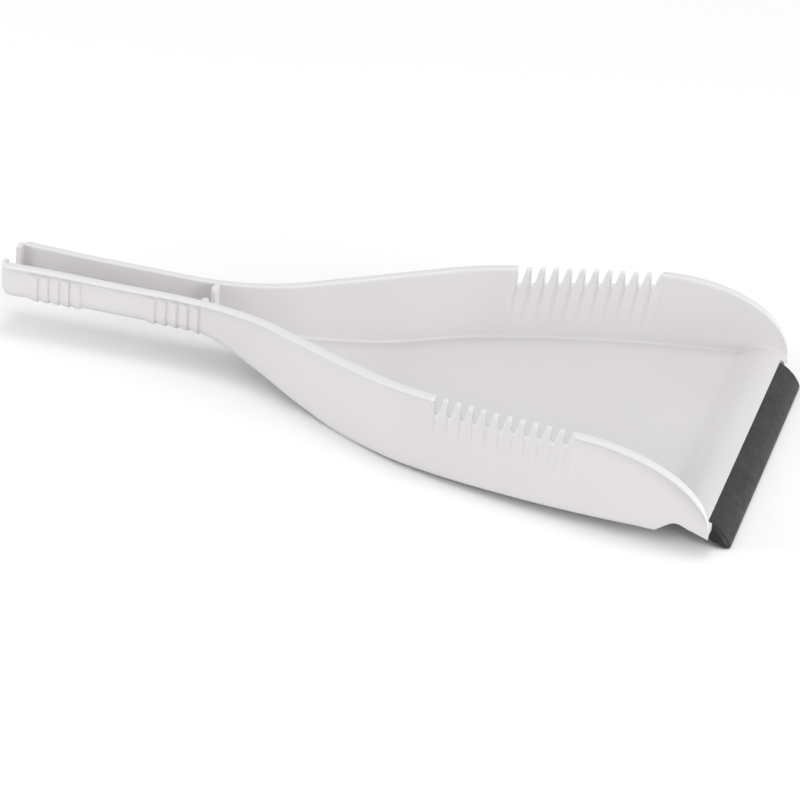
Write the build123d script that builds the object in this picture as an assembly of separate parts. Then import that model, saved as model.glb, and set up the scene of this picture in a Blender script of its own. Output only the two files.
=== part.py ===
"""Dustpan with comb teeth, a channel handle and a soft rubber lip.

Millimetres. The moulding is drawn lying on its flat underside, with its mouth towards -Y, its
handle towards +Y and its plane of symmetry at X = 0. It is then pitched to the attitude in which
it really stands, on the edge of the lip and the heel of the floor, and centred over the origin.
"""

import math
import os

from build123d import *

os.makedirs("parts", exist_ok=True)

# Plan of the moulding: outer half width at each station along Y
HANDLE_END = 168.5
HANDLE_MIDDLE = 152.0
NECK = 85.0
MOUTH = -159.6
HANDLE_HALF_WIDTH = 12.4
HANDLE_FLARE = 1.8
HANDLE_FLARE_START = 135.0
BODY_STATIONS = [
    (70.0, 14.6),
    (50.0, 22.4),
    (30.0, 36.5),
    (0.0, 58.7),
    (-20.0, 72.0),
    (-40.0, 80.9),
    (-70.0, 90.4),
    (-100.0, 97.3),
    (-130.0, 101.6),
    (MOUTH, 103.6),
]
END_CORNER = 3.0
END_OVERRUN = 6.0

# Walls
WALL = 2.0
FLOOR = 2.2
OUTER_CORNER = 5.0
INNER_CORNER = 3.4
WALL_FOOT = (89.0, -64.0)

# Height of the rim above the underside, and its slope at the handle's end
RIM_STATIONS = [(-32.0, 34.5), (20.0, 33.4), (60.0, 33.2), (110.0, 35.3), (HANDLE_END, 38.6)]
RIM_END_SLOPE = 0.055
CHEEK_START = -100.0
CHEEK_TOP = 35.0
CHEEK_FOOT = 3.0

# Underside: heel, rise to the handle, and the arch behind the mouth
HEEL = 0.0
RISE_STATIONS = [(30.0, 3.8), (55.0, 9.8), (70.0, 15.2)]
HANDLE_BOTTOM_START = (84.0, 18.7)
HANDLE_BOTTOM_END = (HANDLE_END, 22.8)
END_BOTTOM_CORNER = 4.0
ARCH_START = -136.6
ARCH_TOP = (-145.0, 3.6)
CHEEK_BOTTOM = -0.5
ARCH_END_SLOPE = 0.4

# Ramp of the floor behind the lip
RAMP_START = -137.0
RAMP_MIDDLE = (-143.0, 4.4)
RAMP_CREST = (-149.5, 5.9)
FLOOR_EDGE = -157.7
FLOOR_EDGE_TOP = 3.6
FLOOR_EDGE_SLOPE = 0.42

# Rim flange
FLANGE_OVERHANG = 2.4
FLANGE_THICKNESS = 1.6
FLANGE_END = 166.0
FLANGE_GAP = 3.2

# Comb cut in each wall
NOTCHES = 11
NOTCH_FIRST = -40.9
NOTCH_PITCH = 5.7
NOTCH_RADIUS = 1.0
NOTCH_FLOOR_FIRST = 27.0
NOTCH_FLOOR_LAST = 29.2
TOOTH_TIP = 1.4
COMB_TOP = 35.5
COMB_CLEARANCE = 5.0

# Grip ribs round the handle
RIB_HEIGHT = 0.75
RIB_LENGTH = 4.2
RIB_GROUPS = [(133.7, 4.7), (80.0, 5.0)]
RIBS_PER_GROUP = 5
RIB_SINK = 0.25
RIB_TOP = 33.0

# Clip fins at the neck
FIN_REAR = 79.6
FIN_THICKNESS = 2.5
FIN_GAP = 10.4
FIN_CORNER = 3.0
FIN_TOP = 33.7
FIN_ROOT = 1.0

# Notch in the end wall
END_NOTCH_WIDTH = 16.0
END_NOTCH_DEPTH = 9.5
END_NOTCH_CORNER = 2.5

# Rubber lip and the tongue that holds it
LIP_HALF_LENGTH = 94.0
TONGUE_HALF_LENGTH = 91.0
TONGUE_REACH = 4.0
TONGUE_TOP = 2.2
TONGUE_BOTTOM = 1.0
LIP_BEND = (-162.6, 0.5)
LIP_SHOULDER = (-165.6, -2.9)
LIP_TIP = (-167.6, -6.6)
LIP_TIP_RADIUS = 0.7
LIP_UNDERSIDE = (-159.6, -4.2)
LIP_ROOT_RISE = 1.2

# Construction prisms and boxes, larger than the moulding
TALL = 60.0
WIDE = 300.0
LONG = 400.0
PAST = 1.0
CORNER_BOX = 10.0


def handle_half_width(y):
    """Outer half width of the handle, which widens gently towards its end."""
    flare = max(0.0, (y - HANDLE_FLARE_START) / (HANDLE_END - HANDLE_FLARE_START))
    return HANDLE_HALF_WIDTH + HANDLE_FLARE * flare**2


def handle_bottom(y):
    """Height of the straight underside of the handle."""
    (y0, z0), (y1, z1) = HANDLE_BOTTOM_START, HANDLE_BOTTOM_END
    return z0 + (z1 - z0) * (y - y0) / (y1 - y0)


def plan_stations(grow):
    """Half widths of the plan from the handle's end to the mouth, moved out along the normal."""
    handle_stations = (HANDLE_END, HANDLE_MIDDLE, HANDLE_FLARE_START, NECK)
    stations = [(y, handle_half_width(y)) for y in handle_stations] + BODY_STATIONS
    moved = []
    for i, (y, w) in enumerate(stations):
        before = stations[max(i - 1, 0)]
        after = stations[min(i + 1, len(stations) - 1)]
        along = Vector(after[1] - before[1], after[0] - before[0]).normalized()
        moved.append((y + grow * along.X, w - grow * along.Y))
    moved[0] = (HANDLE_END, moved[0][1])
    moved[-1] = (MOUTH, moved[-1][1])
    return moved


def plan_face(grow=0.0, overrun=0.0):
    """The moulding seen from above, grown by an even amount and run on past both ends."""
    stations = plan_stations(grow)
    sides = [[(side * w, y) for y, w in stations] for side in (1, -1)]
    end_width, mouth_width = stations[0][1], stations[-1][1]
    outline = Curve() + [Spline(*points) for points in sides]
    if overrun:
        for side in (1, -1):
            outline += Line((side * end_width, HANDLE_END), (side * end_width, HANDLE_END + overrun))
            outline += Line((side * mouth_width, MOUTH), (side * mouth_width, MOUTH - overrun))
    outline += Line((-end_width, HANDLE_END + overrun), (end_width, HANDLE_END + overrun))
    outline += Line((-mouth_width, MOUTH - overrun), (mouth_width, MOUTH - overrun))
    return make_face(outline)


def rim_curves(overrun):
    """Top edge in the side view: the quarter ellipse of the cheek, then the long rim."""
    cheek = EllipticalCenterArc(
        (CHEEK_START, CHEEK_FOOT), CHEEK_START - MOUTH, CHEEK_TOP - CHEEK_FOOT, 90, arc_size=90
    )
    rim = Spline((CHEEK_START, CHEEK_TOP), *RIM_STATIONS, tangents=[(1, 0), (1, RIM_END_SLOPE)])
    end = RIM_STATIONS[-1]
    return [cheek, rim, Line(end, (end[0] + overrun, end[1] + RIM_END_SLOPE * overrun))]


def rise_curve(lift):
    """The floor's rise from the heel to the handle, lifted by an even amount."""
    stations = [(HEEL, 0.0)] + RISE_STATIONS + [HANDLE_BOTTOM_START]
    slope = handle_bottom(1) - handle_bottom(0)
    return Spline(*[(y, z + lift) for y, z in stations], tangents=[(1, 0), (1, slope)])


def handle_line(lift):
    """The straight underside of the handle, lifted by an even amount and run past the end."""
    start, end = HANDLE_BOTTOM_START[0], HANDLE_END + END_OVERRUN
    return Line((start, handle_bottom(start) + lift), (end, handle_bottom(end) + lift))


def outer_side_face():
    """Outline of the moulding in the side view, from the rim down to the underside."""
    rims = rim_curves(END_OVERRUN)
    rise, bottom = rise_curve(0.0), handle_line(0.0)
    arch = Spline(
        (ARCH_START, 0),
        ARCH_TOP,
        (MOUTH, CHEEK_BOTTOM),
        tangents=[(-1, 0), (-1, -ARCH_END_SLOPE)],
    )
    outline = Curve() + rims + [
        Line(rims[-1] @ 1, bottom @ 1),
        bottom,
        rise,
        Line((HEEL, 0), (ARCH_START, 0)),
        arch,
        Line((MOUTH, CHEEK_BOTTOM), (MOUTH, CHEEK_FOOT)),
    ]
    return make_face(Plane.YZ * outline)


def ramp_curve(lift):
    """The hump of the floor just behind the lip."""
    stations = [(RAMP_START, FLOOR), RAMP_MIDDLE, RAMP_CREST, (FLOOR_EDGE, FLOOR_EDGE_TOP)]
    lifted = [(y, z + lift) for y, z in stations]
    return Spline(*lifted, tangents=[(-1, 0), (-1, -FLOOR_EDGE_SLOPE)])


def inner_side_face():
    """Everything above the upper face of the floor, in the side view, up to the end wall."""
    front = (MOUTH - PAST, FLOOR_EDGE_TOP + FLOOR_EDGE_SLOPE * (MOUTH - PAST - FLOOR_EDGE))
    end = HANDLE_END - WALL
    rise = rise_curve(FLOOR)
    outline = Curve() + [
        ramp_curve(0.0),
        Line((FLOOR_EDGE, FLOOR_EDGE_TOP), front),
        Line(front, (front[0], TALL)),
        Line((front[0], TALL), (end, TALL)),
        Line((end, TALL), (end, handle_bottom(end) + FLOOR)),
        Line((end, handle_bottom(end) + FLOOR), rise @ 1),
        rise,
        Line((HEEL, FLOOR), (RAMP_START, FLOOR)),
    ]
    return make_face(Plane.YZ * outline)


def upright(face):
    """A prism standing on the plan, far above and below the moulding."""
    return extrude(Pos(0, 0, -TALL) * face, 2 * TALL)


def crosswise(face):
    """A prism of a side view, wider than the moulding."""
    return extrude(Pos(-WIDE, 0, 0) * face, 2 * WIDE, dir=(1, 0, 0))


def round_wall_feet(solid, radius):
    """Round the long edge where each side wall meets the floor, from the mouth to the handle."""
    for side in (1, -1):
        foot = Vector(side * WALL_FOOT[0], WALL_FOOT[1], 0)
        edge = solid.edges().sort_by(lambda e: (e @ 0.5 - foot).length)[0]
        solid = fillet(edge, radius)
    return solid


def slab(start, length, width=WIDE):
    """Everything from a place along Y onwards: towards the handle, or the mouth if negative."""
    side = Align.MIN if length > 0 else Align.MAX
    box = Box(width, abs(length), 2 * TALL, align=(Align.CENTER, side, Align.CENTER))
    return Pos(0, start, 0) * box


def end_envelope():
    """Room for the whole moulding, with the rounded upright corners of the handle's end."""
    end = slab(HANDLE_END, -2 * CORNER_BOX, 2 * handle_half_width(HANDLE_END))
    uprights = end.edges().filter_by(Axis.Z).group_by(Axis.Y)[-1]
    return fillet(uprights, END_CORNER) + slab(HANDLE_END - CORNER_BOX, -LONG)


def end_bottom_corner():
    """What the rounding of the handle end's bottom corner takes away."""
    start = HANDLE_END - CORNER_BOX
    corner = (HANDLE_END, handle_bottom(HANDLE_END))
    top = (HANDLE_END, corner[1] + CORNER_BOX)
    outline = Curve() + [
        FilletPolyline((start, handle_bottom(start)), corner, top, radius=END_BOTTOM_CORNER),
        Polyline(
            top,
            (HANDLE_END + PAST, top[1]),
            (HANDLE_END + PAST, corner[1] - CORNER_BOX),
            (start, corner[1] - CORNER_BOX),
            (start, handle_bottom(start)),
        ),
    ]
    return crosswise(make_face(Plane.YZ * outline))


def outer_block():
    """The outer shape of the moulding, solid all through, with rounded bottom edges."""
    block = upright(plan_face(0.0, END_OVERRUN)) & crosswise(outer_side_face())
    return round_wall_feet(block, OUTER_CORNER)


def cavity():
    """The space inside the pan and the handle channel."""
    space = upright(plan_face(-WALL, END_OVERRUN)) & crosswise(inner_side_face())
    return round_wall_feet(space, INNER_CORNER)


def under_mouth():
    """The hollow under the front of the floor, between the cheeks, where the lip hangs."""
    ramp = ramp_curve(-FLOOR)
    floor_edge = (FLOOR_EDGE, FLOOR_EDGE_TOP - FLOOR)
    start = ramp @ 0
    outline = Curve() + [
        ramp,
        Polyline(
            floor_edge,
            (MOUTH - PAST, floor_edge[1]),
            (MOUTH - PAST, -CORNER_BOX),
            (start.X, -CORNER_BOX),
            start,
        ),
    ]
    room = upright(plan_face(-WALL, END_OVERRUN))
    return crosswise(make_face(Plane.YZ * outline)) & room


def lip_recess():
    """Space that the lip takes from the front edge of the floor."""
    return slab(FLOOR_EDGE, MOUTH - PAST - FLOOR_EDGE, 2 * LIP_HALF_LENGTH)


def tongue():
    """The thin tongue along the floor's edge that the rubber is moulded round."""
    return Pos(0, FLOOR_EDGE + PAST, TONGUE_BOTTOM) * Box(
        2 * TONGUE_HALF_LENGTH,
        TONGUE_REACH + PAST,
        TONGUE_TOP - TONGUE_BOTTOM,
        align=(Align.CENTER, Align.MAX, Align.MIN),
    )


def rim_flange():
    """Flange turned outwards along the rim, broken at the comb and flush at the handle's end."""
    ring = upright(plan_face(FLANGE_OVERHANG)) - upright(plan_face(-WALL, END_OVERRUN))
    side = crosswise(outer_side_face())
    band = side - Pos(0, FLANGE_THICKNESS, -FLANGE_THICKNESS) * side
    above_foot = (Align.CENTER, Align.CENTER, Align.MIN)
    top = Pos(0, 0, CHEEK_FOOT) * Box(2 * WIDE, 2 * LONG, TALL, align=above_foot)
    keep_rear = slab(comb_rear(), FLANGE_END - comb_rear())
    keep_front = slab(comb_front(), MOUTH - PAST - comb_front())
    return (ring & band) & top & (keep_rear + keep_front)


def comb_rear():
    """Where the flange stops behind the comb."""
    return NOTCH_FIRST + NOTCH_RADIUS


def comb_front():
    """Where the flange starts again before the comb."""
    return NOTCH_FIRST - NOTCH_PITCH * (NOTCHES - 1) - FLANGE_GAP


def comb_notch(y, floor):
    """One notch: upright towards the handle, slanted towards the mouth, round at the root."""
    root = floor + NOTCH_RADIUS
    high = COMB_TOP + COMB_CLEARANCE
    lean = (NOTCH_PITCH - TOOTH_TIP - 2 * NOTCH_RADIUS) / (COMB_TOP - root)
    rear, front = (y + NOTCH_RADIUS, root), (y - NOTCH_RADIUS, root)
    rear_top = (y + NOTCH_RADIUS, high)
    front_top = (y - NOTCH_RADIUS - lean * (high - root), high)
    flanks = Polyline(rear, rear_top, front_top, front, rear)
    round_root = Plane.YZ * Pos(y, root) * Circle(NOTCH_RADIUS)
    return crosswise(make_face(Plane.YZ * flanks)) + crosswise(round_root)


def comb_notches():
    """The sawtooth row of notches, whose roots rise a little towards the mouth."""
    step = (NOTCH_FLOOR_LAST - NOTCH_FLOOR_FIRST) / (NOTCHES - 1)
    return [
        comb_notch(NOTCH_FIRST - i * NOTCH_PITCH, NOTCH_FLOOR_FIRST + i * step)
        for i in range(NOTCHES)
    ]


def grip_ribs():
    """Ribs round the outside of the handle, steep on the mouth side, fading towards the end."""
    ribs = []
    for first, pitch in RIB_GROUPS:
        for i in range(RIBS_PER_GROUP):
            y = first + i * pitch
            crest = handle_section(y, RIB_HEIGHT)
            ribs.append(loft([crest, handle_section(y + RIB_LENGTH, -RIB_SINK)]))
    return ribs


def handle_section(y, grow):
    """Cross-section of the solid handle below the flange, grown evenly."""
    half = handle_half_width(y) + grow
    bottom = handle_bottom(y) - grow
    section = Pos(0, (RIB_TOP + bottom) / 2) * Rectangle(2 * half, RIB_TOP - bottom)
    section = fillet(section.vertices().group_by(Axis.Y)[0], OUTER_CORNER + grow)
    return Plane(origin=(0, y, 0), x_dir=(1, 0, 0), z_dir=(0, -1, 0)) * section


def clip_fins():
    """Two fins at the neck that grip the handle of a brush stored in the pan."""
    fins = []
    bottom = handle_bottom(FIN_REAR) - FIN_ROOT
    width = HANDLE_HALF_WIDTH - FIN_GAP / 2
    height = FIN_TOP - bottom
    block = Box(width, FIN_THICKNESS, height, align=(Align.CENTER, Align.MAX, Align.MIN))
    for side in (1, -1):
        fin = Pos(side * (FIN_GAP + width) / 2, FIN_REAR, bottom) * block
        edges = fin.edges().filter_by(Axis.Y)
        tip = edges.sort_by(lambda e: (e @ 0.5).Z - side * (e @ 0.5).X)[-1]
        fins.append(fillet(tip, FIN_CORNER))
    return fins


def end_notch():
    """Open notch in the end wall, for the neck of the stored brush or a peg."""
    bottom = RIM_STATIONS[-1][1] - END_NOTCH_DEPTH
    through = WALL + 2 * PAST
    block = Box(END_NOTCH_WIDTH, through, TALL, align=(Align.CENTER, Align.MAX, Align.MIN))
    notch = Pos(0, HANDLE_END + PAST, bottom) * block
    return fillet(notch.edges().filter_by(Axis.Y).group_by(Axis.Z)[0], END_NOTCH_CORNER)


def moulding():
    """Pan, walls, comb, flange, handle, ribs and fins as one injection moulding."""
    hollow = cavity()
    body = (outer_block() & end_envelope()) - end_bottom_corner() - hollow
    body = body - under_mouth() - lip_recess() + tongue()
    body = body + rim_flange()
    for rib in grip_ribs():
        body = body + (rib - hollow)
    for fin in clip_fins():
        body = body + fin
    body = body - end_notch()
    for notch in comb_notches():
        body = body - notch
    return body


def rubber_lip():
    """Soft wedge along the front edge, moulded round the tongue."""
    top_rear = (FLOOR_EDGE, FLOOR_EDGE_TOP)
    tip_front, tip_below = LIP_TIP, (LIP_TIP[0] + LIP_TIP_RADIUS, LIP_TIP[1] - LIP_TIP_RADIUS)
    root_below = (FLOOR_EDGE, LIP_UNDERSIDE[1] + LIP_ROOT_RISE)
    outline = Curve() + [
        Spline(top_rear, LIP_BEND, LIP_SHOULDER, tip_front),
        Polyline(tip_front, tip_below, LIP_UNDERSIDE, root_below, top_rear),
    ]
    section = make_face(Plane.YZ * outline)
    lip = extrude(Pos(-LIP_HALF_LENGTH, 0, 0) * section, 2 * LIP_HALF_LENGTH, dir=(1, 0, 0))
    return lip - tongue()


def at_rest(shapes):
    """Pitch the parts onto the lip and the heel, and centre their box over the origin."""
    drop = LIP_TIP[1] - LIP_TIP_RADIUS
    reach = HEEL - (LIP_TIP[0] + LIP_TIP_RADIUS)
    pitch = math.degrees(math.atan2(drop, reach))
    pitched = [Rot(pitch, 0, 0) * shape for shape in shapes]
    box = Compound(children=[shape.solid() for shape in pitched]).bounding_box()
    move = Pos(0, -(box.min.Y + box.max.Y) / 2, -box.min.Z)
    return [move * shape for shape in pitched]


pan, lip = at_rest([moulding(), rubber_lip()])
export_step(pan, "parts/pan.step")
export_step(lip, "parts/rubber_lip.step")
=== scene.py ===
"""Looks of the dustpan: the white moulding and its charcoal rubber lip, in metres.

The moulding is one surface, lofted through cross-sections along Y. It is drawn in millimetres lying
on its flat underside, with the mouth towards -Y, and is then pitched onto the lip and the heel.
"""

import math

import bmesh
import bpy
import numpy as np
from mathutils import Matrix, Vector


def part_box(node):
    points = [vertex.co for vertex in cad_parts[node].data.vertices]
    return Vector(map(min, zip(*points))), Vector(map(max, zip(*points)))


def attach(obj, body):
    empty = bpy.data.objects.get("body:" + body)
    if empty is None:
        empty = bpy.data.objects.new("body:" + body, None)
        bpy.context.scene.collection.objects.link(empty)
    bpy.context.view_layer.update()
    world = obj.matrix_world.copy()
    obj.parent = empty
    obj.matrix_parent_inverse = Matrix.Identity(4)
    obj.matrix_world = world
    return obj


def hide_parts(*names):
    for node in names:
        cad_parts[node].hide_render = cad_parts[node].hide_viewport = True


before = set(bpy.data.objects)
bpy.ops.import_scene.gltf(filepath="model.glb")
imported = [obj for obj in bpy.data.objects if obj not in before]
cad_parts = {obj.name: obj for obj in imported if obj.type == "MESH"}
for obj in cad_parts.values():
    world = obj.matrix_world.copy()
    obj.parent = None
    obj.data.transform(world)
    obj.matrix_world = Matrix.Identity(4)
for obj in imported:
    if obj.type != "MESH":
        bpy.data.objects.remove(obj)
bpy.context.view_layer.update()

# ---------------------------------------------------------------- driving dimensions, millimetres

HANDLE_END = 168.5
MOUTH = -159.6
HANDLE_HALF_WIDTH = 12.4
HANDLE_FLARE = 1.8
HANDLE_FLARE_START = 135.0
PLAN_STATIONS = [
    (MOUTH, 103.6),
    (-130.0, 101.6),
    (-100.0, 97.3),
    (-70.0, 90.4),
    (-40.0, 80.9),
    (-20.0, 72.0),
    (0.0, 58.7),
    (30.0, 36.5),
    (50.0, 22.4),
    (70.0, 14.6),
    (85.0, HANDLE_HALF_WIDTH),
    (110.0, HANDLE_HALF_WIDTH),
]
END_CORNER = 3.0
END_BOTTOM_CORNER = 4.0

WALL = 2.0
FLOOR = 2.2
THINNEST_FLOOR = 1.2
INNER_CORNERS = (1.0, 3.0)
OUTER_CORNERS = (0.9, 2.0, 4.6)
CHEEK_REACH = (-140.0, -128.0)
NECK_REACH = (30.0, 72.0)

RIM_STATIONS = [(-100.0, 35.0), (-32.0, 34.5), (20.0, 33.4), (60.0, 33.2), (110.0, 35.3), (HANDLE_END, 38.6)]
RIM_END_SLOPE = 0.055
CHEEK_START = -100.0
CHEEK_TOP = 35.0
CHEEK_FOOT = 3.0
RIM_EDGE = 0.5
LEAST_WALL = 0.3
CORNER_SHARE = 0.4

RISE_STATIONS = [(0.0, 0.0), (30.0, 3.8), (55.0, 9.8), (70.0, 15.2), (84.0, 18.7)]
HANDLE_BOTTOM = [(84.0, 18.7), (HANDLE_END, 22.8)]
HEEL_REACH = 30
ARCH_STATIONS = [(MOUTH, -0.3), (-151.7, 2.5), (-145.2, 4.4), (-141.3, 2.6), (-137.2, 0.0)]
ARCH_SLOPES = (0.34, -0.35)
RAMP_STATIONS = [(-157.7, 4.0), (-153.6, 5.4), (-149.5, 5.9), (-143.0, 4.4), (-137.0, FLOOR)]
FLOOR_EDGE = -157.7
FLOOR_EDGE_SLOPE = 0.42

FLANGE_OVERHANG = 2.4
FLANGE_THICKNESS = 1.6
FLANGE_EDGE = 0.4
FLANGE_FILLET = 0.8
FLANGE_END_REACH = (165.0, 166.6)
FLANGE_MOUTH_HEIGHTS = (4.5, 21.7)
FLANGE_GAP = 3.2
FLANGE_STEP = 0.7

NOTCHES = 11
NOTCH_FIRST = -40.9
NOTCH_PITCH = 5.7
NOTCH_RADIUS = 1.0
NOTCH_FLOORS = (27.0, 29.2)
TOOTH_TIP = 1.8
TOOTH_CORNER = 0.45
COMB_TOP = 35.5
UPRIGHT_STEP = 0.02
FLUTE_DEPTH = 0.45
FLUTE_FADE = 20.0
FLUTE_LEAN = 0.16
FLUTE_RISE = 0.72

RIB_HEIGHT = 0.9
RIB_LENGTH = 4.2
RIB_DROP = 0.8
RIB_TOP_FADE = 1.4
RIB_GROUPS = [(133.7, 4.7), (80.0, 5.0)]
RIBS_PER_GROUP = 5

FIN_REAR = 79.6
FIN_THICKNESS = 2.5
FIN_GAP = 10.4
FIN_CORNER = 3.0
FIN_TOP = 33.7
FIN_EDGE = 0.45
FIN_ROOT = 0.6

END_WALL = 2.0
END_NOTCH_HALF_WIDTH = 8.0
END_NOTCH_DEPTH = 9.5
END_NOTCH_CORNER = 2.5

LIP_HALF_LENGTH = 94.0
LIP_STEP = 0.6
LIP_TIP = (-167.6, -6.6)
LIP_TIP_RADIUS = 0.7
LIP_TOP_SLOPES = (2.6, 0.45)
LIP_TOP_STATIONS = [
    (LIP_TIP[0], -6.0),
    (-165.9, -3.0),
    (-162.8, 0.3),
    (FLOOR_EDGE, RAMP_STATIONS[0][1] - LIP_STEP),
]
LIP_UNDERSIDE = [(-163.0, -5.75), (-159.6, -4.3), (-158.2, -3.6), (FLOOR_EDGE, -2.6), (FLOOR_EDGE, 0.8)]
LIP_END_CORNER = 3.0
LIP_END_TAPER = 0.3

MM = 0.001
PAN_CREASE = 24
LIP_CREASE = 40


# ---------------------------------------------------------------- curves of the moulding

def smooth_curve(stations, first_slope=None, last_slope=None):
    """A smooth function through stations in rising order of y, with end slopes if given."""
    ys, zs = np.array(stations, dtype=float).T
    slopes = np.gradient(zs, ys)
    if first_slope is not None:
        slopes[0] = first_slope
    if last_slope is not None:
        slopes[-1] = last_slope

    def value(y):
        i = int(np.clip(np.searchsorted(ys, y) - 1, 0, len(ys) - 2))
        gap = ys[i + 1] - ys[i]
        t = min(max((y - ys[i]) / gap, 0.0), 1.0)
        start = zs[i] * (1 + 2 * t) * (1 - t) ** 2 + slopes[i] * gap * t * (1 - t) ** 2
        end = zs[i + 1] * t**2 * (3 - 2 * t) + slopes[i + 1] * gap * t**2 * (t - 1)
        return start + end

    return value


def ease(low, high, value):
    """0 below low, 1 above high, and a smooth step between them."""
    t = min(max((value - low) / (high - low), 0.0), 1.0)
    return t * t * (3 - 2 * t)


def mix(first, second, share):
    """A value between two others."""
    return first + (second - first) * share


def corner_drop(distance, radius):
    """How far a round corner falls away, from the place where its arc starts."""
    reach = min(max(distance, 0.0), radius)
    return radius - math.sqrt(radius**2 - reach**2)


(bottom_y, bottom_z), (end_y, end_z) = HANDLE_BOTTOM
BOTTOM_SLOPE = (end_z - bottom_z) / (end_y - bottom_y)
body_plan = smooth_curve(PLAN_STATIONS, last_slope=0.0)
long_rim = smooth_curve(RIM_STATIONS, 0.0, RIM_END_SLOPE)
rise = smooth_curve(RISE_STATIONS, 0.0, BOTTOM_SLOPE)
arch = smooth_curve(ARCH_STATIONS, *ARCH_SLOPES)
ramp = smooth_curve(RAMP_STATIONS, FLOOR_EDGE_SLOPE, 0.0)


def half_width(y):
    """Outer half width of the wall."""
    if y < HANDLE_FLARE_START:
        return body_plan(y)
    flare = (y - HANDLE_FLARE_START) / (HANDLE_END - HANDLE_FLARE_START)
    return HANDLE_HALF_WIDTH + HANDLE_FLARE * flare**2


def stretch(y):
    """Width along X of a layer of unit thickness, because the wall runs at an angle to Y."""
    slope = (half_width(y + 0.5) - half_width(y - 0.5)) if y < HANDLE_END - 1 else 0.0
    return math.sqrt(1 + slope**2)


def rim_height(y):
    """Height of the rim without the comb."""
    if y >= CHEEK_START:
        return long_rim(y)
    share = min((CHEEK_START - y) / (CHEEK_START - MOUTH), 1.0)
    return CHEEK_FOOT + (CHEEK_TOP - CHEEK_FOOT) * math.sqrt(1 - share**2)


def lower_edge(y):
    """Height of the lowest edge of the wall."""
    if y < ARCH_STATIONS[-1][0]:
        return arch(y)
    if y < 0:
        return 0.0
    if y < bottom_y:
        return rise(y)
    return bottom_z + BOTTOM_SLOPE * (y - bottom_y)


def floor_height(y):
    """Height of the upper face of the floor."""
    if y < FLOOR_EDGE:
        return RAMP_STATIONS[0][1] + FLOOR_EDGE_SLOPE * (y - FLOOR_EDGE)
    if y < RAMP_STATIONS[-1][0]:
        return ramp(y)
    return lower_edge(max(y, 0.0)) + FLOOR


def underside(y):
    """Height of the floor's lower face."""
    if y < RAMP_STATIONS[-1][0]:
        return min(max(floor_height(y) - FLOOR, lower_edge(y)), floor_height(y) - THINNEST_FLOOR)
    return lower_edge(y)


def flange_width(y):
    """Overhang of the rim flange: none at the comb, at the handle's end and low on the cheek."""
    comb_rear = NOTCH_FIRST + NOTCH_RADIUS
    comb_front = NOTCH_FIRST - NOTCH_PITCH * (NOTCHES - 1) - FLANGE_GAP
    behind = ease(comb_rear, comb_rear + FLANGE_STEP, y)
    before = 1 - ease(comb_front - FLANGE_STEP, comb_front, y)
    at_end = 1 - ease(*FLANGE_END_REACH, y)
    at_mouth = ease(*FLANGE_MOUTH_HEIGHTS, rim_height(y))
    return FLANGE_OVERHANG * max(behind, before) * at_end * at_mouth


def rib_height(y):
    """Height of the grip ribs: a steep side towards the mouth and a long one towards the end."""
    for first, pitch in RIB_GROUPS:
        for i in range(RIBS_PER_GROUP):
            along = y - (first + i * pitch)
            if -RIB_DROP < along <= 0:
                return RIB_HEIGHT * ease(-RIB_DROP, 0, along)
            if 0 < along < RIB_LENGTH:
                return RIB_HEIGHT * math.cos(math.pi / 2 * along / RIB_LENGTH)
    return 0.0


def flute(y, z):
    """How far the wall swings outwards under the comb teeth, fading downwards and past the comb."""
    last = NOTCH_FIRST - NOTCH_PITCH * (NOTCHES - 1)
    along = ease(last - NOTCH_PITCH, last, y) * (1 - ease(NOTCH_FIRST, NOTCH_FIRST + NOTCH_PITCH, y))
    if along == 0.0:
        return 0.0
    top = NOTCH_FLOORS[0] + NOTCH_RADIUS
    fade = min(max(1 - (top - z) / FLUTE_FADE, 0.0), 1.0)
    turn = (NOTCH_FIRST - y - FLUTE_LEAN * (z - top)) / NOTCH_PITCH % 1.0
    rising, falling = turn / FLUTE_RISE, (1 - turn) / (1 - FLUTE_RISE)
    wave = 2 * min(rising, falling) - 1
    return FLUTE_DEPTH * wave * fade * along


# ---------------------------------------------------------------- stations along the moulding

REAR_STEP = 0.4
LONG_STEP = 1.5
LONG_STEP_END = 164
RIB_STEP = 0.25
FRONT_STEP = 0.35
FRONT_STEP_END = -104.0
CHEEK_TURNS = np.radians(np.linspace(5, 90, 90))
ARCH_START_PLACES = 9


def comb_outline():
    """(y, z) along the toothed rim, from the handle side to the mouth side."""
    points = []
    rise_per_notch = (NOTCH_FLOORS[1] - NOTCH_FLOORS[0]) / (NOTCHES - 1)
    for i in range(NOTCHES):
        y = NOTCH_FIRST - i * NOTCH_PITCH
        root = NOTCH_FLOORS[0] + i * rise_per_notch + NOTCH_RADIUS
        lean = (NOTCH_PITCH - TOOTH_TIP - 2 * NOTCH_RADIUS) / (COMB_TOP - root)
        rim, flank = rim_height(y), y + NOTCH_RADIUS
        for turn in np.radians([0, 30, 60, 90]):
            run = TOOTH_CORNER * (1 - math.sin(turn))
            points.append((flank + run, rim - TOOTH_CORNER * (1 - math.cos(turn))))
        for turn in np.linspace(0, math.pi, 11):
            reach = NOTCH_RADIUS * math.cos(turn)
            if turn == 0:
                reach -= UPRIGHT_STEP
            points.append((y + reach, root - NOTCH_RADIUS * math.sin(turn)))
        height = rim - root
        for share in (0.25, 0.5, 0.75, 0.95):
            points.append((y - NOTCH_RADIUS - lean * height * share, root + height * share))
        points.append((y - NOTCH_RADIUS - lean * height - TOOTH_CORNER, rim))
    return points


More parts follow.
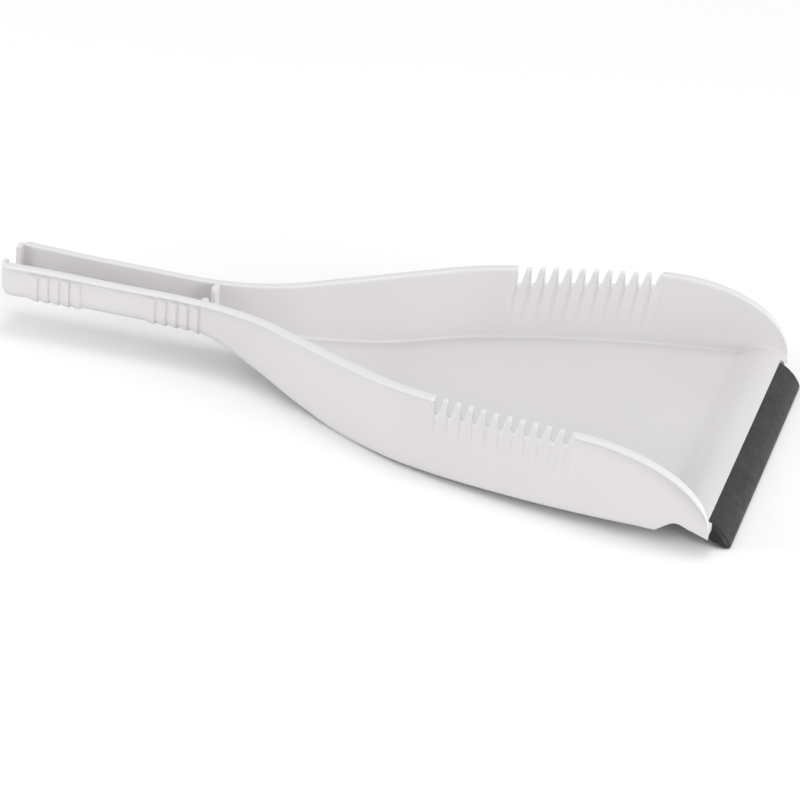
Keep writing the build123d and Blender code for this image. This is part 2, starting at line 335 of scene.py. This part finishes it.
def end_stations():
    """Where the handle's end is cut: round its corners and on both faces of the end wall."""
    turns = np.radians(np.linspace(0, 90, 9))
    corner = [HANDLE_END - END_CORNER * (1 - math.sin(turn)) for turn in turns]
    bottom = [HANDLE_END - END_BOTTOM_CORNER * (1 - math.sin(turn)) for turn in turns]
    edge = [HANDLE_END - RIM_EDGE * (1 - math.sin(turn)) for turn in turns[::2]]
    wall = HANDLE_END - END_WALL
    return corner + bottom + edge + [wall, wall + UPRIGHT_STEP]


def stations():
    """(y, rim height) of every cross-section, from the handle's end to the mouth."""
    comb = comb_outline()
    rear, front = comb[0][0], comb[-1][0]
    long_start = rear + 10 * REAR_STEP
    places = list(np.arange(rear + REAR_STEP, long_start, REAR_STEP))
    places += list(np.arange(long_start, LONG_STEP_END, LONG_STEP))
    for first, pitch in RIB_GROUPS:
        start, stop = first - RIB_DROP, first + (RIBS_PER_GROUP - 1) * pitch + RIB_LENGTH
        places += list(np.arange(start, stop, RIB_STEP))
    places += end_stations()
    places += list(np.arange(front - 0.3, FRONT_STEP_END, -FRONT_STEP))
    places += [CHEEK_START - (CHEEK_START - MOUTH) * math.sin(turn) for turn in CHEEK_TURNS]
    places += list(np.linspace(ARCH_STATIONS[-1][0] + 1, RAMP_STATIONS[-1][0] - 1, ARCH_START_PLACES))
    places += [FLOOR_EDGE, RAMP_STATIONS[-1][0]]
    rows = [(y, rim_height(y)) for y in places if y > rear or y < front] + comb
    rows.sort(reverse=True)
    kept = [rows[0]]
    for row in rows[1:]:
        if kept[-1][0] - row[0] > UPRIGHT_STEP / 4:
            kept.append(row)
    return kept


# ---------------------------------------------------------------- one cross-section

FLOOR_COLUMNS = 14
EDGE_COLUMNS = 3
CORNER_STEPS = 8
WALL_ROWS = 20
INNER_EDGE_TURNS = np.radians([18, 36, 54, 72, 90])
OUTER_EDGE_TURNS = np.radians([90, 60, 30, 0])
FLANGE_EDGE_POINTS = 2
FLOOR_POINTS = FLOOR_COLUMNS + EDGE_COLUMNS
INNER_FACE_POINTS = FLOOR_POINTS + CORNER_STEPS + WALL_ROWS + 1
RIM_POINTS = len(INNER_EDGE_TURNS) + len(OUTER_EDGE_TURNS) + FLANGE_EDGE_POINTS
LIP_CORNER = 0.5


def floor_shares():
    """Places across the floor, from the middle to the wall, with one at the lip's end."""
    lip_end = LIP_HALF_LENGTH / (half_width(FLOOR_EDGE) - WALL - LIP_CORNER)
    inside = np.linspace(0, lip_end, FLOOR_COLUMNS)
    outside = np.linspace(lip_end, 1, EDGE_COLUMNS + 1)[1:]
    return list(inside) + list(outside)


def wall_heights(low, high, rows):
    """Heights up a wall, both ends included."""
    return [low + (high - low) * i / (rows - 1) for i in range(rows)]


def section(y, rim):
    """Half of the cross-section at y: inner face upwards, then the rim, then the outer face down."""
    layer = stretch(y)
    outer = half_width(y) - corner_drop(y - (HANDLE_END - END_CORNER), END_CORNER)
    low = lower_edge(y) + corner_drop(y - (HANDLE_END - END_BOTTOM_CORNER), END_BOTTOM_CORNER)
    under = underside(y) + low - lower_edge(y)
    top = rim - corner_drop(y - (HANDLE_END - RIM_EDGE), RIM_EDGE)
    floor = floor_height(y)
    top = max(top, floor + LEAST_WALL)
    room = CORNER_SHARE * (top - floor)
    inner = outer - WALL * layer
    cheek, neck = ease(*CHEEK_REACH, y), ease(*NECK_REACH, y)
    inner_radius = min(mix(*INNER_CORNERS, neck), room)
    inner_edge = min(RIM_EDGE, room)
    if y > HANDLE_END - END_WALL:
        floor = rim_height(y) - END_NOTCH_DEPTH
        inner, layer = END_NOTCH_HALF_WIDTH, 1.0
        inner_radius = END_NOTCH_CORNER
    outer_radius = mix(mix(OUTER_CORNERS[0], OUTER_CORNERS[1], cheek), OUTER_CORNERS[2], neck)
    rib = rib_height(y)

    points = []
    reach = inner - inner_radius * layer
    for share in floor_shares():
        points.append((reach * share, floor))
    for i in range(1, CORNER_STEPS + 1):
        turn = math.radians(90 * i / CORNER_STEPS)
        run, lift = inner_radius * math.sin(turn), inner_radius * (1 - math.cos(turn))
        points.append((reach + run * layer, floor + lift))
    for z in wall_heights(floor + inner_radius, top - inner_edge, WALL_ROWS + 2)[1:]:
        points.append((inner + flute(y, z) * layer, z))

    swing = flute(y, top) * layer
    for turn in INNER_EDGE_TURNS:
        run, fall = inner_edge * (1 - math.cos(turn)), inner_edge * (1 - math.sin(turn))
        points.append((inner + run + swing, top - fall))
    overhang = flange_width(y) * layer
    edge = outer + overhang + swing
    for turn in OUTER_EDGE_TURNS:
        run, fall = RIM_EDGE * (1 - math.cos(turn)), RIM_EDGE * (1 - math.sin(turn))
        points.append((edge - run, top - fall))
    under_flange = top - FLANGE_THICKNESS
    soft = FLANGE_EDGE * min(overhang, 1.0)
    points.append((edge, under_flange + soft))
    points.append((edge - soft, under_flange))
    fillet = FLANGE_FILLET * min(overhang, 1.0)
    for turn in np.radians([0, 30, 60, 90]):
        run, fall = fillet * (1 - math.sin(turn)), fillet * (1 - math.cos(turn))
        points.append((outer + swing + run, under_flange - fall))

    start = under_flange - fillet
    for z in wall_heights(start, low + outer_radius, WALL_ROWS + 1)[1:]:
        bump = rib * ease(0, RIB_TOP_FADE, start - z)
        points.append((outer + flute(y, z) * layer + bump, z))
    foot = outer - outer_radius * layer
    for i in range(CORNER_STEPS - 1, -1, -1):
        turn = math.radians(90 * i / CORNER_STEPS)
        run, lift = outer_radius * math.sin(turn), outer_radius * (1 - math.cos(turn))
        out, down = rib * math.sin(turn), rib * math.cos(turn)
        points.append((foot + run * layer + out, low + lift - down))
    step = min(foot, outer - WALL * stretch(y))
    points.append((step, low - rib))
    for share in reversed(floor_shares()):
        points.append((step * share, under - rib))
    return [(x, y, z) for x, z in points]


# ---------------------------------------------------------------- placing and meshing

# A vertex attribute that blends the colour towards a paler one: a painted highlight on the rim, the floor's
# front edge and, weaker, the fins.
PAINTED_HIGHLIGHT = "painted_highlight"
FIN_HIGHLIGHT = 0.6
PITCH = math.atan2(LIP_TIP[1] - LIP_TIP_RADIUS, -(LIP_TIP[0] + LIP_TIP_RADIUS))


def pitched(y, z):
    """A point of the side view after the pan is pitched onto its lip and heel."""
    cosine, sine = math.cos(PITCH), math.sin(PITCH)
    return y * cosine - z * sine, y * sine + z * cosine


def rest_shift():
    """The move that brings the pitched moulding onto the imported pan."""
    low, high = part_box("pan")
    lip_low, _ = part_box("rubber_lip")
    rear, _ = pitched(*RIM_STATIONS[-1])
    _, tip = pitched(LIP_TIP[0] + LIP_TIP_RADIUS, LIP_TIP[1] - LIP_TIP_RADIUS)
    heel = min(pitched(y, lower_edge(y))[1] for y in range(HEEL_REACH))
    return high[1] - rear * MM, min(low[2], lip_low[2]) - min(tip, heel) * MM


SHIFT_Y, SHIFT_Z = rest_shift()


def at_rest(point):
    """A moulding point in millimetres, in the resting frame in metres."""
    x, y, z = point
    turned_y, turned_z = pitched(y, z)
    return (x * MM, turned_y * MM + SHIFT_Y, turned_z * MM + SHIFT_Z)


def new_object(name, points, faces, sharp_degrees, highlight_share=()):
    """A welded, smooth-shaded mesh object with crisp edges above an angle."""
    mesh = bpy.data.meshes.new(name)
    mesh.from_pydata([at_rest(p) for p in points], [], faces)
    shape = bmesh.new()
    shape.from_mesh(mesh)
    # Each point's share of painted highlight goes into a vertex attribute.
    if highlight_share:
        layer = shape.verts.layers.float.new(PAINTED_HIGHLIGHT)
        for vertex, value in zip(shape.verts, highlight_share):
            vertex[layer] = value
    bmesh.ops.remove_doubles(shape, verts=shape.verts, dist=1e-6)
    bmesh.ops.dissolve_degenerate(shape, edges=shape.edges, dist=1e-7)
    bmesh.ops.recalc_face_normals(shape, faces=shape.faces)
    shape.to_mesh(mesh)
    shape.free()
    mesh.shade_smooth()
    mesh.set_sharp_from_angle(angle=math.radians(sharp_degrees))
    piece = bpy.data.objects.new(name, mesh)
    bpy.context.scene.collection.objects.link(piece)
    return piece


def painted_highlight_share(row, place, count, front):
    """Painted highlight share: 1 on the rim and on the floor's front edge, whose colour is paled to stand
    for the light these edges catch, and 0 elsewhere.
    """
    on_rim = INNER_FACE_POINTS - 1 <= place < INNER_FACE_POINTS + RIM_POINTS
    on_floor_edge = row == front and (place < FLOOR_COLUMNS or place > count - FLOOR_COLUMNS - 1)
    return 1.0 if on_rim or on_floor_edge else 0.0


def moulding_surface():
    """Points, faces and painted highlight shares of the moulding but the fins: both halves, with their end
    faces.
    """
    rows = stations()
    sections = [section(y, rim) for y, rim in rows]
    count = len(sections[0])
    columns = INNER_FACE_POINTS
    lip_column = FLOOR_COLUMNS - 1
    front = [i for i, (y, _) in enumerate(rows) if y >= FLOOR_EDGE - 1e-6][-1]
    points, faces, highlight_share = [], [], []
    for side in (1, -1):
        base = len(points)
        for number, row in enumerate(sections):
            points += [(side * x, y, z) for x, y, z in row]
            highlight_share += [painted_highlight_share(number, place, count, front) for place in range(count)]

        def at(station, place):
            return base + station * count + place % count

        def strip(first, second, start, stop):
            for place in range(start, stop):
                corners = [at(first, place), at(second, place), at(second, place + 1), at(first, place + 1)]
                faces.append(corners)

        def across(station, start, stop):
            for place in range(start, stop):
                inner, outer = (place, place + 1), (count - 1 - place, count - 2 - place)
                faces.append([at(station, n) for n in (inner[0], inner[1], outer[1], outer[0])])

        last = len(rows) - 1
        for station in range(front):
            strip(station, station + 1, 0, count - 1)
        for station in range(front, last):
            strip(station, station + 1, lip_column, count - 1 - lip_column)
            low, high = count - 1 - lip_column, lip_column
            faces.append([at(station, low), at(station + 1, low), at(station + 1, high), at(station, high)])
        across(front, 0, lip_column)
        for station, start in ((0, 0), (last, lip_column)):
            across(station, start, columns - 1)
            faces.append([at(station, place) for place in range(columns - 1, count - columns + 1)])
    return points, faces, highlight_share


def fin_surface(side):
    """Points and faces of one clip fin, rooted in the moulding and rounded at its upper inner corner."""
    outer = HANDLE_HALF_WIDTH - FIN_ROOT
    inner = FIN_GAP / 2
    bottom = lower_edge(FIN_REAR) + FIN_ROOT
    layers = [(0.0, FIN_EDGE), (FIN_EDGE, 0.0), (FIN_THICKNESS - FIN_EDGE, 0.0), (FIN_THICKNESS, FIN_EDGE)]
    points, faces = [], []
    for depth, inset in layers:
        outline = [(outer, bottom), (inner + inset, bottom)]
        for turn in np.radians(np.linspace(0, 90, 9)):
            run = (FIN_CORNER - inset) * math.cos(turn)
            lift = (FIN_CORNER - inset) * math.sin(turn)
            outline.append((inner + FIN_CORNER - run, FIN_TOP - FIN_CORNER + lift))
        outline.append((outer, FIN_TOP - inset))
        points += [(side * x, FIN_REAR - depth, z) for x, z in outline]
    count = len(outline)
    for layer in range(len(layers) - 1):
        for i in range(count):
            j, a, b = (i + 1) % count, layer * count, (layer + 1) * count
            faces.append([a + i, a + j, b + j, b + i])
    faces.append(list(range(count)))
    faces.append([len(points) - count + i for i in range(count)])
    return points, faces


def pan_piece():
    """The moulding as one object."""
    points, faces, highlight_share = moulding_surface()
    for side in (1, -1):
        fin_points, fin_faces = fin_surface(side)
        faces += [[len(points) + i for i in face] for face in fin_faces]
        points += fin_points
        # The fins get a weaker painted highlight.
        highlight_share += [FIN_HIGHLIGHT] * len(fin_points)
    return new_object("pan_moulding", points, faces, PAN_CREASE, highlight_share)


def lip_outline():
    """Side view of the rubber lip, counter-clockwise from its upper rear corner."""
    blade = smooth_curve(LIP_TOP_STATIONS, *LIP_TOP_SLOPES)
    outline = [(y, blade(y)) for y in np.linspace(FLOOR_EDGE, LIP_TIP[0], 19)]
    centre = (LIP_TIP[0] + LIP_TIP_RADIUS, LIP_TIP[1])
    for turn in np.radians(np.linspace(190, 280, 6)):
        reach_y, reach_z = LIP_TIP_RADIUS * math.cos(turn), LIP_TIP_RADIUS * math.sin(turn)
        outline.append((centre[0] + reach_y, centre[1] + reach_z))
    return outline + LIP_UNDERSIDE


def lip_piece():
    """The rubber lip, with softly rounded ends."""
    outline = np.array(lip_outline())
    centre = np.array((FLOOR_EDGE, outline.mean(axis=0)[1]))
    turns = np.radians(np.linspace(0, 80, 9))
    places = [
        (LIP_HALF_LENGTH - LIP_END_CORNER * (1 - math.cos(turn)), 1 - LIP_END_TAPER * (1 - math.sin(turn)))
        for turn in turns
    ]
    places += [(x, 1.0) for x in np.linspace(LIP_HALF_LENGTH - LIP_END_CORNER, 0, 24)]
    places += [(-x, share) for x, share in reversed(places[:-1])]
    points, faces, count = [], [], len(outline)
    for x, share in places:
        points += [(x, *(centre + (spot - centre) * share)) for spot in outline]
    for row in range(len(places) - 1):
        for i in range(count):
            j, a, b = (i + 1) % count, row * count, (row + 1) * count
            faces.append([a + i, a + j, b + j, b + i])
    faces.append(list(range(count)))
    faces.append([len(points) - count + i for i in range(count)])
    return new_object("rubber_lip_blade", points, faces, LIP_CREASE)


# ---------------------------------------------------------------- materials

PAN_COLOURS = ((0.640, 0.629, 0.626), (0.660, 0.649, 0.646))
# Paler colour that the painted highlight blends in on the rim, the floor's front edge and the fins.
HIGHLIGHT_COLOUR = (0.71, 0.705, 0.70)
LIP_COLOURS = ((0.013, 0.0105, 0.0125), (0.022, 0.0185, 0.021))
FLOOR_COLOURS = ((0.925, 0.922, 0.920), (0.935, 0.932, 0.930))
RAMP_REACH = (0.3, 0.7)


def new_material(name):
    """A node material, its nodes and links, and its principled shader."""
    material = bpy.data.materials.new(name)
    material.use_nodes = True
    tree = material.node_tree
    return material, tree.nodes, tree.links, tree.nodes["Principled BSDF"]


def add_noise(nodes, links, scale, detail, roughness):
    """Noise in object coordinates, at a scale given in waves per metre."""
    place = nodes.new("ShaderNodeTexCoord")
    noise = nodes.new("ShaderNodeTexNoise")
    noise.inputs["Scale"].default_value = scale
    noise.inputs["Detail"].default_value = detail
    noise.inputs["Roughness"].default_value = roughness
    links.new(place.outputs["Object"], noise.inputs["Vector"])
    return noise.outputs["Fac"]


def add_ramp(nodes, links, factor, low, high):
    """A colour ramp between two colours."""
    ramp_node = nodes.new("ShaderNodeValToRGB")
    for element, position, colour in zip(ramp_node.color_ramp.elements, RAMP_REACH, (low, high)):
        element.position = position
        element.color = (*colour, 1)
    links.new(factor, ramp_node.inputs["Fac"])
    return ramp_node.outputs["Color"]


def add_bump(nodes, links, height, strength, distance, below=None):
    """A bump, laid over another one where one is given."""
    bump = nodes.new("ShaderNodeBump")
    bump.inputs["Strength"].default_value = strength
    bump.inputs["Distance"].default_value = distance
    links.new(height, bump.inputs["Height"])
    if below is not None:
        links.new(below, bump.inputs["Normal"])
    return bump.outputs["Normal"]


def pan_plastic():
    """White polypropylene: fine satin grain, faint cloudiness, and a painted highlight that pales the rim,
    the floor's front edge and the fins.
    """
    material, nodes, links, shader = new_material("pan_plastic")
    cloud = add_noise(nodes, links, 14, 3, 0.5)
    colour = add_ramp(nodes, links, cloud, *PAN_COLOURS)
    # Painted highlight: the vertex attribute blends the colour towards the paler edge colour.
    edge = nodes.new("ShaderNodeAttribute")
    edge.attribute_name = PAINTED_HIGHLIGHT
    blend = nodes.new("ShaderNodeMix")
    blend.data_type = "RGBA"
    links.new(edge.outputs["Fac"], blend.inputs["Factor"])
    links.new(colour, blend.inputs["A"])
    blend.inputs["B"].default_value = (*HIGHLIGHT_COLOUR, 1)
    links.new(blend.outputs["Result"], shader.inputs["Base Color"])
    patch = add_noise(nodes, links, 60, 4, 0.6)
    gloss = add_ramp(nodes, links, patch, (0.36, 0.36, 0.36), (0.46, 0.46, 0.46))
    links.new(gloss, shader.inputs["Roughness"])
    grain = add_noise(nodes, links, 2600, 3, 0.6)
    flow = add_noise(nodes, links, 90, 2, 0.5)
    wave = add_bump(nodes, links, flow, 0.10, 0.0004)
    links.new(add_bump(nodes, links, grain, 0.12, 0.00008, wave), shader.inputs["Normal"])
    shader.inputs["IOR"].default_value = 1.49
    return material


def lip_rubber():
    """Charcoal soft rubber, satin, with a slightly dusty mottling."""
    material, nodes, links, shader = new_material("lip_rubber")
    cloud = add_noise(nodes, links, 55, 5, 0.62)
    colour = add_ramp(nodes, links, cloud, *LIP_COLOURS)
    links.new(colour, shader.inputs["Base Color"])
    patch = add_noise(nodes, links, 180, 4, 0.6)
    gloss = add_ramp(nodes, links, patch, (0.42, 0.42, 0.42), (0.56, 0.56, 0.56))
    links.new(gloss, shader.inputs["Roughness"])
    grain = add_noise(nodes, links, 1500, 4, 0.65)
    links.new(add_bump(nodes, links, grain, 0.25, 0.00012), shader.inputs["Normal"])
    shader.inputs["IOR"].default_value = 1.50
    shader.inputs["Specular IOR Level"].default_value = 0.32
    return material


def floor_paint():
    """Plain pale studio floor."""
    material, nodes, links, shader = new_material("studio_floor")
    cloud = add_noise(nodes, links, 2, 2, 0.5)
    colour = add_ramp(nodes, links, cloud, *FLOOR_COLOURS)
    links.new(colour, shader.inputs["Base Color"])
    shader.inputs["Roughness"].default_value = 0.85
    shader.inputs["Specular IOR Level"].default_value = 0.1
    return material


# ---------------------------------------------------------------- studio

CAMERA_AZIMUTH = -78.95
CAMERA_ELEVATION = 22.73
CAMERA_ROLL = 6.61
CAMERA_DISTANCE = 1.8859
CAMERA_TARGET = (0.0, -0.0092, -0.0025)
CAMERA_LENS = 198.0
SENSOR = 36.0
CAMERA_REACH = 50.0

FLOOR_SIZE = 12.0
WORLD_STRENGTH = 0.78
LIGHTS = [
    {"name": "top", "place": (0.25, 0.1, 2.2), "size": 0.9, "power": 8.5},
    {"name": "left", "place": (-1.2, 2.0, 0.6), "size": 1.2, "power": 17.0},
    {"name": "right", "place": (-0.9, -2.2, 0.6), "size": 1.2, "power": 28.0},
]


def add_camera():
    """The camera, rolled a little about its line of sight."""
    azimuth, elevation, roll = (math.radians(v) for v in (CAMERA_AZIMUTH, CAMERA_ELEVATION, CAMERA_ROLL))
    level = math.cos(elevation)
    back = Vector((math.sin(azimuth) * level, -math.cos(azimuth) * level, math.sin(elevation)))
    flat_right = Vector((math.cos(azimuth), math.sin(azimuth), 0.0))
    flat_up = back.cross(flat_right)
    right = flat_right * math.cos(roll) + flat_up * math.sin(roll)
    up = back.cross(right)
    data = bpy.data.cameras.new("camera")
    data.lens = CAMERA_LENS
    data.sensor_width = SENSOR
    data.clip_end = CAMERA_REACH
    camera = bpy.data.objects.new("camera", data)
    place = Vector(CAMERA_TARGET) + back * CAMERA_DISTANCE
    turn = Matrix((right, up, back)).transposed().to_4x4()
    camera.matrix_world = Matrix.Translation(place) @ turn
    bpy.context.scene.collection.objects.link(camera)
    bpy.context.scene.camera = camera


def add_light(name, place, size, power):
    """A soft square light aimed at the middle of the pan."""
    data = bpy.data.lights.new(name, "AREA")
    data.shape = "SQUARE"
    data.size = size
    data.energy = power
    light = bpy.data.objects.new(name, data)
    light.location = place
    light.rotation_euler = Vector(place).to_track_quat("Z", "Y").to_euler()
    bpy.context.scene.collection.objects.link(light)


def add_world():
    """White surroundings."""
    world = bpy.data.worlds.new("studio")
    world.use_nodes = True
    background = world.node_tree.nodes["Background"]
    background.inputs["Color"].default_value = (1, 1, 1, 1)
    background.inputs["Strength"].default_value = WORLD_STRENGTH
    bpy.context.scene.world = world


def add_floor():
    """A wide pale floor at the height that the pan stands on."""
    half = FLOOR_SIZE / 2
    mesh = bpy.data.meshes.new("studio_floor")
    corners = [(-half, -half, 0), (half, -half, 0), (half, half, 0), (-half, half, 0)]
    mesh.from_pydata(corners, [], [(0, 1, 2, 3)])
    floor = bpy.data.objects.new("studio_floor", mesh)
    bpy.context.scene.collection.objects.link(floor)
    mesh.materials.append(floor_paint())


# ---------------------------------------------------------------- the object

add_camera()
add_world()
add_floor()
for light in LIGHTS:
    add_light(**light)
bpy.context.scene.view_settings.view_transform = "Standard"

pan = pan_piece()
pan.data.materials.append(pan_plastic())
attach(pan, "root")
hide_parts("pan")

lip = lip_piece()
lip.data.materials.append(lip_rubber())
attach(lip, "root")
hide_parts("rubber_lip")
